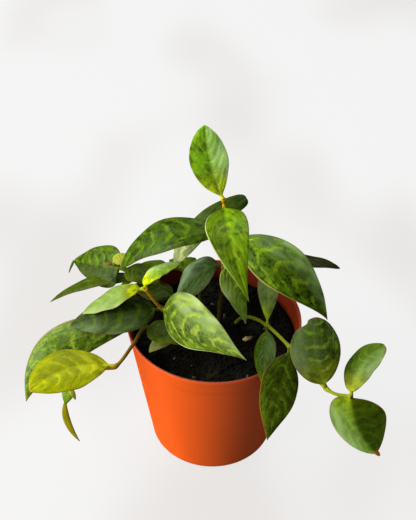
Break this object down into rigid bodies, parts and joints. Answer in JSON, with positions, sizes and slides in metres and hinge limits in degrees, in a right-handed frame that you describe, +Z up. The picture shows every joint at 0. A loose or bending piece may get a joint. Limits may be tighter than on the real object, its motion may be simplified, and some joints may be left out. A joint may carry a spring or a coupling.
{
  "type": "potted lipstick plant",
  "caption": "Small trailing house plant with thick oval mottled leaves, rooted in dark potting soil in a tapered orange plastic nursery pot.",
  "frame": {"origin": "centre of the pot's flat underside, on the surface that it stands on", "axes": "+Z up along the pot's axis; -Y is the front, the side that the picture was taken from; +X is to the right seen from the front"},
  "size_m": [0.1833, 0.1444, 0.1893],
  "materials": {
    "pot": "satin moulded plastic, terracotta orange",
    "soil": "loose dark potting mix",
    "leaves": "thick waxy leaf with yellow-green net and dark patches",
    "young_leaves": "waxy young leaf, light green to yellow"
  },
  "bodies": {
    "root": {"pot": "pot", "soil": "soil", "stem_upright": "leaves", "stem_back_left": "leaves", "stem_young": "young_leaves", "stem_trailing_left": "leaves", "stem_left_back": "leaves", "stem_trailing_right": "leaves", "stem_back_right": "leaves", "stem_trailing_back": "leaves"}
  },
  "joints": []
}
